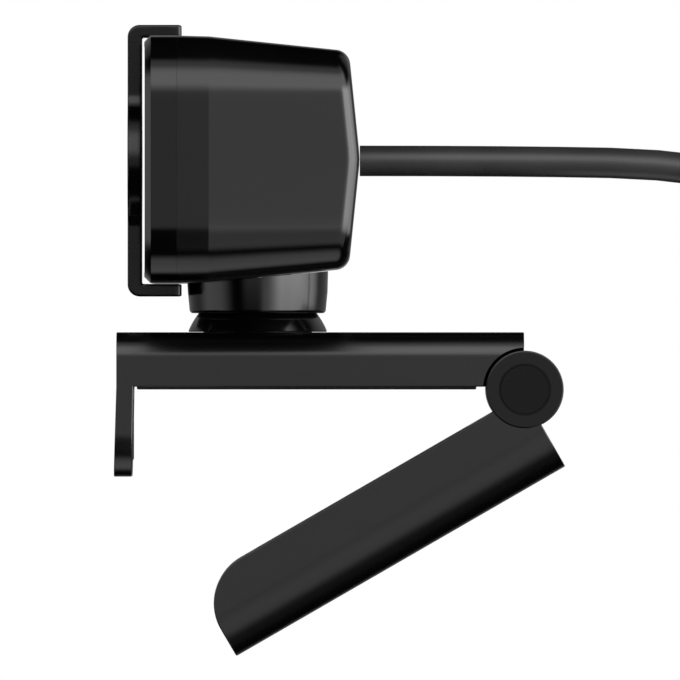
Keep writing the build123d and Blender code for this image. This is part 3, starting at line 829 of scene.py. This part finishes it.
def cover_stations():
    """Inner and outer points of the C-shaped strip with its half width, from one end to the middle."""
    inner_z = HEAD_HEIGHT / 2 + COVER_GAP
    outer_z = inner_z + COVER_LEG
    inner_y = COVER_FRONT_Y + COVER_PLATE
    stations = []
    end_r = 0.5
    for k in range(6):
        a = math.radians(90 * k / 5)
        y = COVER_END_Y - end_r * (1 - math.sin(a))
        slim = 0.2 * (1 - math.cos(a))
        width = COVER_HALF_STRIP - end_r * (1 - math.cos(a))
        stations.append(((y, inner_z + slim), (y, outer_z - slim), width))
    stations.reverse()
    for y in (-12.5, -14.0, -15.5, -16.6):
        stations.append(((y, inner_z), (y, outer_z), COVER_HALF_STRIP))
    corner = (COVER_FRONT_Y + COVER_CORNER_R, outer_z - COVER_CORNER_R)
    tight = 0.25
    inside = (inner_y + tight, inner_z - tight)
    outer_arc = arc(corner, COVER_CORNER_R, 90, 180, 10)
    inner_arc = arc(inside, tight, 90, 180, 10)
    for inner, outer in zip(inner_arc, outer_arc):
        stations.append((inner, outer, COVER_HALF_STRIP))
    levels = [16.5, 14.5, 12.5, 11.0, 10.4, 9.8, 9.5, 9.1, 8.7, 8.3, 7.9, 7.4]
    levels += [COVER_DISC_R * math.sin(math.radians(a)) for a in range(45, -1, -3)]
    for z in levels:
        stations.append(((inner_y, z), (COVER_FRONT_Y, z), cover_half_width(z)))
    return stations


def section_ring(inner, outer, half_width, edge=0.28):
    """A rounded bar section between an inner and an outer point."""
    middle = ((inner[0] + outer[0]) / 2, (inner[1] + outer[1]) / 2)
    run = Vector((outer[0] - inner[0], outer[1] - inner[1]))
    half_thick = run.length / 2
    run.normalize()
    outline = rounded_outline(half_width, half_thick, min(edge, half_thick * 0.9), 6, 2, 5)
    return [(x, middle[0] + run.x * t, HEAD_Z + middle[1] + run.y * t) for x, t in outline]


def privacy_cover(m):
    """The sliding cover: a rounded bar section swept round the C, mirrored top to bottom."""
    stations = cover_stations()
    mirrored = [((iy, -iz), (oy, -oz), w) for (iy, iz), (oy, oz), w in reversed(stations[:-1])]
    rings = [section_ring(*s) for s in stations + mirrored]
    cover = loft(rings)
    finish_piece("privacy_cover_strip", cover, m["cover_plastic"], "cover", "privacy_cover", sharp=40)


# --- neck ---


def underside_z(y):
    """Height of the head's underside at depth y."""
    return HEAD_Z - HEAD_HEIGHT / 2 + side_inset(y)


def neck_collar(m):
    """Tapered collar whose rim follows the underside of the head, with the ball's cup inside."""
    bottom_inner = math.sqrt(CUP_R**2 - (COLLAR_BOTTOM_Z - BALL_Z) ** 2)
    profile = [(bottom_inner + 0.12, COLLAR_BOTTOM_Z)]
    profile += arc((COLLAR_BOTTOM_R - 0.45, COLLAR_BOTTOM_Z + 0.5), 0.5, -90, 0, 6)
    rise = 3.2
    profile.append((COLLAR_BOTTOM_R + rise * COLLAR_SLOPE + 0.03, COLLAR_BOTTOM_Z + rise))
    rim = 99.0  # moved to the head's underside below
    profile += [(COLLAR_BOTTOM_R + 4.4 * COLLAR_SLOPE, rim), (COLLAR_HOLLOW_R, rim)]
    profile += [(COLLAR_HOLLOW_R, BOSS_TOP_Z), (STUD_HOLE_R, BOSS_TOP_Z)]
    profile.append((STUD_HOLE_R, BALL_Z + CUP_R - 0.05))
    profile += arc((0, BALL_Z), CUP_R, 84, 41, 11)[1:]
    bm = lathe(profile, 128)
    for v in bm.verts:
        if v.co.z == rim:
            v.co.z = underside_z(v.co.y) - 0.01
    finish_piece("neck_collar_cup", bm, m["neck_plastic"], "head", "neck_collar")


def ball_dome(m):
    """Hollow ball dome on a turned boss, slotted at the crown for the stud."""
    seat_angle = math.degrees(math.asin((DOME_SEAT_Z + 0.15 - BALL_Z) / BALL_R))
    outer = arc((0, BALL_Z), BALL_R, 90, seat_angle, 24)
    outer += [(BALL_R * math.cos(math.radians(seat_angle)) - 0.12, DOME_SEAT_Z)]
    outer += [(DOME_BOSS_R, DOME_SEAT_Z), (DOME_BOSS_R, 5.9), (DOME_GROOVE_R, 5.9)]
    outer += [(DOME_GROOVE_R, 5.15), (DOME_BOSS_R, 5.15), (DOME_BOSS_R, 4.7)]
    outer += [(DOME_BOSS_R - 0.1, 4.6), (DOME_BORE_R, 4.6), (DOME_BORE_R, DOME_SEAT_Z + 1.2)]
    inner_r = BALL_R - BALL_WALL
    low_angle = math.degrees(math.asin((DOME_SEAT_Z + 1.2 - BALL_Z) / inner_r))
    outer += arc((0, BALL_Z), inner_r, low_angle, 90, 16)
    bm = lathe(outer, 128, capped=True)
    slot_r = 1.65
    travel = BALL_R * math.sin(math.radians(15)) + slot_r + 0.1
    slot = arc((0, travel - slot_r), slot_r, 0, 180, 12)
    slot += arc((0, slot_r - travel), slot_r, 180, 360, 12)
    bm = carved(bm, prism(slot, 11, 18))
    finish_piece("ball_dome_shell", bm, m["neck_plastic"], "swivel", "ball_dome")


# --- clip and arm ---


def soften(node, width):
    """Rounds a CAD node's crisp edges a little, as moulding does."""
    obj = bpy.data.objects[node]
    weld = obj.modifiers.new("weld", "WELD")
    weld.merge_threshold = 0.002 * MM
    flat = obj.modifiers.new("flat", "DECIMATE")
    flat.decimate_type = "DISSOLVE"
    flat.angle_limit = math.radians(0.6)
    edge = obj.modifiers.new("edge", "BEVEL")
    edge.width = width * MM
    edge.segments = 3
    edge.limit_method = "ANGLE"
    edge.angle_limit = math.radians(35)
    edge.use_clamp_overlap = False
    shade_by_area(obj)


def ribbed_outline(half_width, low, high, pitch, depth):
    """A slab section whose lower face carries round-topped ribs."""
    count = int(2 * half_width / pitch)
    step = 2 * half_width / count
    points = [(half_width, high), (-half_width, high)]
    for k in range(count):
        left = -half_width + k * step
        for share in (0.06, 0.16, 0.3, 0.5, 0.7, 0.84, 0.94):
            crown = math.sin(math.pi * min(max((share - 0.06) / 0.88, 0), 1)) ** 0.5
            points.append((left + share * step, low + depth * (1 - crown)))
    return points


def ribbed_slab(half_width, low, high, start, stop, pitch=1.1, depth=0.22, end_r=0.2):
    """Ribs along Z, their ends rounded over."""
    outline = ribbed_outline(half_width, low, high, pitch, depth)
    ends = [(start, end_r), (start + 0.3 * end_r, 0.3 * end_r), (start + end_r, 0.0)]
    ends += [(stop - end_r, 0.0), (stop - 0.3 * end_r, 0.3 * end_r), (stop, end_r)]
    rings = [[(x, max(y, low + lift), z) for x, y in outline] for z, lift in ends]
    return loft(rings, zipped=False)


def arm_matrix():
    """From the closed arm's frame, (X, s along, n across), to its place at rest."""
    axes = Matrix(((1, 0, 0, 0), (0, -1, 0, 0), (0, 0, -1, 0), (0, 0, 0, 1)))
    return turned(ARM_REST, "X", (0, HINGE_Y, 0)) @ axes


def deep_section(half_width, flat, deep, radius):
    """Outline (x, height) with square corners at the flat level and round ones at the deep level."""
    level = deep - radius
    points = [(half_width, flat)]
    points += arc((half_width - radius, level), radius, 0, 90, 16)
    points += arc((radius - half_width, level), radius, 90, 180, 16)
    points.append((-half_width, flat))
    return points


def lip_body():
    """The front lip: a slightly leaning plate with round lower corners."""
    centre_x = CLIP_HALF_WIDTH - LIP_CORNER_R
    centre_z = LIP_BOTTOM_Z + LIP_CORNER_R
    outline = [(CLIP_HALF_WIDTH, LIP_TOP_Z), (-CLIP_HALF_WIDTH, LIP_TOP_Z)]
    outline.append((-CLIP_HALF_WIDTH, CLIP_BOTTOM_Z))
    outline += arc((-centre_x, centre_z), LIP_CORNER_R, 180, 270, 14)
    outline += arc((centre_x, centre_z), LIP_CORNER_R, 270, 360, 14)
    outline.append((CLIP_HALF_WIDTH, CLIP_BOTTOM_Z))
    rings = []
    drop = CLIP_BOTTOM_Z - LIP_BOTTOM_Z
    for y, lean in ((CLIP_FRONT_Y, 0.4), (-18.2, 0.25)):
        rings.append([(x, y - lean * max(CLIP_BOTTOM_Z - z, 0) / drop, z) for x, z in outline])
    return loft(rings, zipped=False)


def with_screw_posts(bm, places, radius, ends, hole_ends):
    """Adds posts with blind screw holes."""
    for x, y in places:
        bm = carved(bm, post(radius, *ends, x, y), "UNION")
        bm = carved(bm, post(SCREW_HOLE_R, *hole_ends, x, y))
    return bm


def bracket(m):
    """The clamp plate with its lip, hollow from below, and the hinge's middle knuckle."""
    section = deep_section(CLIP_HALF_WIDTH, CLIP_BOTTOM_Z, CLIP_TOP_Z, CLIP_EDGE_R)
    bm = carved(bar(section, CLIP_FRONT_Y, HINGE_Y - 0.1), lip_body(), "UNION")
    reach = CLIP_HALF_WIDTH + 1
    bore = [(0, KNUCKLE_HALF), (EAR_R + FIT, KNUCKLE_HALF), (HINGE_GAP_R, GAP_CONE_X)]
    bore += [(HINGE_GAP_R, reach), (0, reach)]
    hollow = block((-11.5, -14, -1), (11.5, 29, CLIP_INSIDE_Z))
    plate_pad_seat = block((-12.5, -17.75, -2), (12.5, 32.2, PAD_THICK))
    lip_pad_seat = block((-9.5, -18.8, -10.5), (9.5, -17.0, -1.5))
    for pocket in (hollow, plate_pad_seat, lip_pad_seat):
        bm = carved(bm, pocket)
    bm = rounded_edges(bm, EDGE_ROUND)
    for side in (-1, 1):
        bm = carved(bm, moved(lathe(bore, 128, capped=True), facing_side(side, 0, HINGE_Y)))
    bm = carved(bm, across(EAR_R, -KNUCKLE_HALF, KNUCKLE_HALF, HINGE_Y, 0), "UNION")
    places = [(x, y) for x in (-8.6, 8.6) for y in (-11.0, 26.0)]
    bm = with_screw_posts(bm, places, 2.4, (2.8, 6.2), (2.0, 5.6))
    bm = carved(bm, post(NECK_HOLE_R, 5, 9, 0, 0, 96))
    bm = carved(bm, across(HINGE_PIN_R + 0.05, -20, 20, HINGE_Y, 0, 48))
    bm = without_specks(bm)
    finish_piece("bracket_shell", bm, m["clip_plastic"], "clip", "bracket")


def ear(side):
    """One ear of the hinge, its face a hair proud of the arm's side and recessed for the cap."""
    face = CLIP_HALF_WIDTH + EAR_PROUD
    pin = HINGE_PIN_R + FIT
    profile = [(pin, EAR_INNER_X), (EAR_R - 0.1, EAR_INNER_X), (EAR_R, EAR_INNER_X + 0.1)]
    profile += [(EAR_R, face - 0.1), (EAR_R - 0.03, face - 0.03), (EAR_R - 0.1, face)]
    profile += [(EAR_R - 0.3, face), (CAP_R + 0.3, face), (CAP_R + 0.12, face)]
    profile += [(CAP_R + 0.12, CAP_SEAT_X), (pin, CAP_SEAT_X)]
    return moved(lathe(profile, 128), facing_side(side))


def arm_tip_waste():
    """What the rounded inner corner of the arm's tip leaves out, across the whole arm."""
    centre = (ARM_END - ARM_TIP_R, ARM_INNER + ARM_TIP_R)
    outline = arc(centre, ARM_TIP_R, -90, 0, 18)
    outline += [(ARM_END + 1, centre[1]), (ARM_END + 1, ARM_INNER - 1), (centre[0], ARM_INNER - 1)]
    reach = CLIP_HALF_WIDTH + 1
    return loft([[(x, s, n) for s, n in outline] for x in (-reach, reach)], zipped=False)


def arm(m):
    """The hinged arm: a hollow bar with round outer edges, its ears and the tripod boss."""
    bm = bar(deep_section(CLIP_HALF_WIDTH, ARM_INNER, ARM_OUTER, ARM_EDGE_R), ARM_START, ARM_END)
    bm = carved(bm, arm_tip_waste())
    hollow = bar(deep_section(12.1, ARM_INNER - 1, 10.4, 4.6), 8.0, 47.6)
    bm = carved(bm, hollow)
    bm = rounded_edges(bm, EDGE_ROUND)
    bm = carved(bm, across(HINGE_GAP_R, -EAR_INNER_X, EAR_INNER_X))
    for side in (-1, 1):
        ends = sorted((side * CAP_SEAT_X, side * (CLIP_HALF_WIDTH + 1)))
        bm = carved(bm, across(CAP_R + 0.4, *ends))
    for side in (-1, 1):
        bm = carved(bm, ear(side), "UNION")
    bm = carved(bm, post(TRIPOD_BOSS_R, 3.0, ARM_OUTER - 1, 0, TRIPOD_S, 96), "UNION")
    places = [(x, s) for x in (-8.0, 8.0) for s in (14.0, 30.0)]
    bm = with_screw_posts(bm, places, 2.6, (2.4, 11.0), (1.0, 8.5))
    bm = carved(bm, post(TRIPOD_SEAT_R, 4.2, ARM_OUTER + 1, 0, TRIPOD_S, 96))
    for face in bm.faces:
        middle = face.calc_center_median()
        if math.hypot(middle.y, middle.z) < EAR_R + 0.01:
            face.material_index = 1
    bm = moved(bm, arm_matrix())
    shell = finish_piece("arm_shell_body", bm, m["clip_plastic"], "arm", "arm_shell")
    shell.data.materials.append(m["ear_plastic"])


def pads(m):
    """Ribbed rubber under the clamp plate, behind the lip and on the arm."""
    lying = Matrix(((1, 0, 0, 0), (0, 0, -1, 0), (0, 1, 0, 0), (0, 0, 0, 1)))
    pad = moved(ribbed_slab(12.4, 0.0, PAD_THICK, -32.1, 17.7), lying)
    finish_piece("bracket_ribbed_pad", pad, m["rubber"], "clip", "bracket_pad", "rubber")
    lip = ribbed_slab(9.4, 18.25, 18.78, -10.4, -1.6, 0.94, 0.2)
    lip = moved(lip, Matrix.Diagonal((1, -1, 1, 1)))
    finish_piece("lip_ribbed_pad", lip, m["rubber"], "clip", "lip_pad", "rubber")
    arm_pad = moved(ribbed_slab(10.55, ARM_INNER + FIT, 1.5, -45.95, -10.05), arm_matrix() @ lying)
    finish_piece("arm_ribbed_pad", arm_pad, m["rubber"], "arm", "arm_pad", "rubber")


def hinge_caps(m):
    """Flat discs in the ears; a CLOSING_INSET slot is left round each."""
    rim = CAP_R - 0.16
    back = -0.85
    profile = [(0.0, 0.0), (rim - 0.3, 0.0), (rim - 0.05, 0.0), (rim, -0.05), (rim, back), (0.0, back)]
    seat = CLIP_HALF_WIDTH - 0.07
    caps = []
    for side in (-1, 1):
        caps.append(moved(lathe(profile, 96, capped=True), facing_side(side, side * seat, HINGE_Y)))
    finish_piece("hinge_end_caps", merged(*caps), m["cap_plastic"], "arm", "hinge_caps")


def tripod_insert(m):
    """Brass bush with a coarse thread inside and a bevelled mouth."""
    top = 12.65
    floor = 5.2
    pitch = 1.27
    root_r = 3.15
    crest_r = 2.62
    profile = [(0.0, 4.25), (4.4, 4.25), (4.55, 4.4), (4.55, top - 0.15), (4.4, top), (3.3, top)]
    height = top - 0.35
    while height - pitch > floor:
        profile += [(root_r, height - 0.08), (root_r, height - 0.2), (crest_r, height - 0.55)]
        profile += [(crest_r, height - 0.72), (root_r, height - 1.12)]
        height -= pitch
    profile += [(2.6, height - 0.3), (2.6, floor), (0.0, floor)]
    bm = lathe(profile, 72, capped=True)
    bm = moved(bm, arm_matrix() @ Matrix.Translation((0, TRIPOD_S, 0)))
    finish_piece("tripod_brass_insert", bm, m["brass"], "arm", "tripod_insert", "brass", 25)


# --- cord ---

LEAD_ROUTE = [
    (0.0, 15.0, 33.6),
    (0.0, 38.0, 33.6),
    (0.0, 66.0, 33.0),
    (0.0, 91.5, 25.8),
    (-0.8, 107.4, 6.6),
    (-3.4, 108.6, -15.0),
    (-4.2, 108.9, -35.0),
]

TAIL_ROUTE = [
    (-3.0, 118.2, -10.6),
    (-11.5, 122.5, -12.6),
    (-17.4, 127.6, -21.5),
    (-17.85, 129.0, -34.0),
    (-17.85, 129.0, -52.5),
]

# The coil's turns in winding order: (layer from the inside, column from the front).
TURNS = [(0, 0), (0, 1), (1, 2), (1, 1), (1, 0), (2, 0), (2, 1), (2, 2), (3, 2), (3, 1)]
COIL_ENTRY = 205.0  # degrees, where the lead has reached the first turn
FIRST_SHIFT = 505.0  # where the first turn moves over to the second
SHIFT_STEP = 344.0  # each later turn moves over a little earlier round the coil
SHIFT_WIDTH = 15.0
COIL_EXIT = 3700.0
POINTS_PER_TURN = 16


def blend_up(x):
    """Rises smoothly from 0 to 1."""
    x = min(max(x, 0.0), 1.0)
    return x * x * (3 - 2 * x)


def turn_place(angle):
    """Radius and column offset of the winding at a total angle in degrees."""
    radius, column = TURNS[0]
    for k, (layer, col) in enumerate(TURNS[1:]):
        start = FIRST_SHIFT + k * SHIFT_STEP
        share = (angle - start) / SHIFT_WIDTH
        sideways = blend_up(share * 2) if layer != TURNS[k][0] else blend_up(share)
        outward = blend_up(share * 2 - 1) if col != TURNS[k][1] else blend_up(share)
        radius += (layer - TURNS[k][0]) * outward
        column += (col - TURNS[k][1]) * sideways
    return COIL_INNER_TURN_R + COIL_PITCH * radius, COIL_COLUMN * (column - 1)


def coil_points():
    """Control points of the winding; they stand out a little so that the spline keeps the radius."""
    points = []
    step = 360.0 / POINTS_PER_TURN
    swell = 1 / (0.75 + 0.25 * math.cos(math.radians(step)))
    angle = COIL_ENTRY
    while angle < COIL_EXIT:
        radius, offset = turn_place(angle)
        a = math.radians(angle)
        reach = radius * swell
        points.append((COIL.x + reach * math.cos(a), COIL.y + offset, COIL.z + reach * math.sin(a)))
        angle += step
    return points


def cable(m):
    """The whole cord as one round tube: lead, coil and tail."""
    data = bpy.data.curves.new("cable_curve", "CURVE")
    data.dimensions = "3D"
    data.bevel_depth = CABLE_R * MM
    data.bevel_resolution = 8
    data.resolution_u = 4
    data.use_fill_caps = True
    route = LEAD_ROUTE + coil_points() + TAIL_ROUTE
    spline = data.splines.new("NURBS")
    spline.points.add(len(route) - 1)
    for point, place in zip(spline.points, route):
        point.co = (*(c * MM for c in place), 1.0)
    spline.use_endpoint_u = True
    spline.order_u = 3
    spline.use_smooth = True
    data.materials.append(m["cable_jacket"])
    obj = add_object("usb_cable", data)
    return attach(obj, "head", "cable_jacket", "cable", "cable_coil", "cable_tail")


def cable_tie(m):
    """Strap round the coil's section at its top, its end lapped over itself."""
    low = COIL_INNER_TURN_R - CABLE_R - 0.85
    high = COIL_INNER_TURN_R + 3 * COIL_PITCH + CABLE_R + 0.55
    middle = (low + high) / 2
    half_depth = 7.35
    path = rounded_outline((high - low) / 2, half_depth, 1.4, 5, 3, 6)
    thick = 0.85
    loops = []
    count = len(path)
    for k in range(count):
        before = Vector(path[k - 1])
        after = Vector(path[(k + 1) % count])
        run = (after - before).normalized()
        out = Vector((run.y, -run.x))
        here = Vector(path[k])
        section = rounded_outline(TIE_HALF_WIDTH, thick / 2, 0.3, 5, 1, 4)
        y = COIL.y + here.y
        z = COIL.z + middle + here.x
        loops.append([(COIL.x + x, y + out.y * t, z + out.x * t) for x, t in section])
    bm = loft(loops, closed=True)
    lap = []
    for y, lift in ((-6.2, 0.55), (-5.9, 0.75), (-2.0, 0.82), (2.5, 0.84), (5.4, 0.82), (6.1, 0.62)):
        section = rounded_outline(TIE_HALF_WIDTH - 0.15, 0.32, 0.2, 5, 1, 4)
        lap.append([(COIL.x + x, COIL.y + y, COIL.z + high + lift + t) for x, t in section])
    bm = merged(bm, loft(lap))
    return finish_piece("cable_strap", bm, m["strap"], "head", "cable_tie", "cable_jacket", 50)


def plug(m):
    """Strain relief, grip, metal shell and contact tongue, hanging from the cable's end."""
    hung = Matrix.Translation(PLUG)
    relief_profile = [(2.35, 0.35), (2.9, 0.25), (3.1, 0.0)]
    for k in range(4):
        z = -1.2 - 2.5 * k
        r = 3.15 + 0.24 * k
        relief_profile += [(r, z), (r - 0.75, z - 0.25), (r - 0.75, z - 0.95), (r + 0.18, z - 1.2)]
    relief_profile += [(4.15, -11.4), (4.2, -12.0), (2.35, -12.0)]
    bm = moved(lathe(relief_profile, 64), hung)
    vinyl = m["cable_jacket"]
    boot = finish_piece("plug_boot", bm, vinyl, "head", "plug_strain_relief", "cable_jacket", 30)
    rings = []
    shape = [(-12.0, 4.6, 2.9), (-12.3, 5.2, 3.3), (-13.6, 6.3, 3.75), (-16.0, 7.2, 3.95)]
    shape.append((-19.0, 7.7, 4.0))
    for k in range(6):
        z = -20.4 - 2.2 * k
        shape += [(z, 7.75, 4.0), (z - 0.25, 7.45, 3.7), (z - 0.75, 7.45, 3.7), (z - 1.0, 7.8, 4.0)]
    shape += [(-34.5, 7.95, 4.0), (-37.2, 8.0, 4.0), (-37.75, 7.85, 3.85), (-38.0, 7.4, 3.4)]
    for z, half_width, half_thick in shape:
        outline = rounded_outline(half_width, half_thick, min(2.4, half_thick * 0.72), 8, 3, 8)
        rings.append([(x, y, z) for x, y in outline])
    bm = moved(loft(rings), hung)
    grip = finish_piece("plug_grip_body", bm, m["black_plastic"], "head", "plug_grip", sharp=50)
    walls = [(-38.0, 0.0, 0.55), (-51.75, 0.0, 0.55), (-52.0, -0.12, 0.55)]
    walls += [(-52.0, -0.2, 0.3), (-51.75, -0.3, 0.3), (-38.0, -0.3, 0.3)]
    rings = []
    for z, grow, corner in walls:
        outline = rounded_outline(6.0 + grow, 2.25 + grow, corner, 8, 3, 6)
        rings.append([(x, y, z) for x, y in outline])
    windows = [block((x - 1.1, -3, -46.5), (x + 1.1, 3, -44.0)) for x in (-2.5, 2.5)]
    bm = moved(carved(loft(rings, closed=True), merged(*windows)), hung)
    sleeve = finish_piece("plug_metal_shell", bm, m["steel"], "head", "plug_shell", "steel")
    rings = []
    for z, grow in ((-38.0, 0.0), (-51.2, 0.0), (-51.5, -0.2)):
        outline = rounded_outline(5.55 + grow, 0.92 + grow * 0.8, 0.2, 8, 2, 4)
        rings.append([(x, y + 0.98, z) for x, y in outline])
    tongue = loft(rings)
    plain_faces = len(tongue.faces)
    for x in (-3.75, -1.25, 1.25, 3.75):
        tongue = merged(tongue, block((x - 0.5, -0.02, -50.6), (x + 0.5, 0.2, -42.0)))
    tongue.faces.ensure_lookup_table()
    for face in tongue.faces[plain_faces:]:
        face.material_index = 1
    bm = moved(tongue, hung)
    white = "white_plastic"
    blade = finish_piece("plug_contact_tongue", bm, m[white], "head", "plug_tongue", white)
    blade.data.materials.append(m["gold"])
    return [boot, grip, sleeve, blade]


def cord(m):
    line = cable(m)
    pieces = [cable_tie(m), *plug(m)]


# --- everything ---

# CAD nodes whose finish isn't that of their material slot.
SPECIAL = {
    "arm_cover": "clip_plastic",
    "lens_barrel": "lens_black",
    "lens_holder": "lens_black",
}


def dress_cad_nodes(m):
    """Gives every CAD node that stays the finish of its material slot."""
    for row in frame["record"]["subparts"]:
        node = row["node"]
        finish = m[SPECIAL.get(node, row["material_slot"])]
        obj = bpy.data.objects[node]
        obj.data.materials.clear()
        obj.data.materials.append(finish)


def main():
    add_camera()
    Sky().light(KEY_BOXES + EDGE_BOXES + FILL_BOXES)
    add_floor()
    materials = make_materials()
    builders = (
        dress_cad_nodes, cord, rear_housing, front_bezel, front_panel, optics, privacy_cover,
        neck_collar, ball_dome, pads, hinge_caps, bracket, arm, tripod_insert,
    )
    for build in builders:
        build(materials)
    soften("arm_cover", 0.12)
    bpy.context.scene.view_settings.view_transform = "Standard"


main()
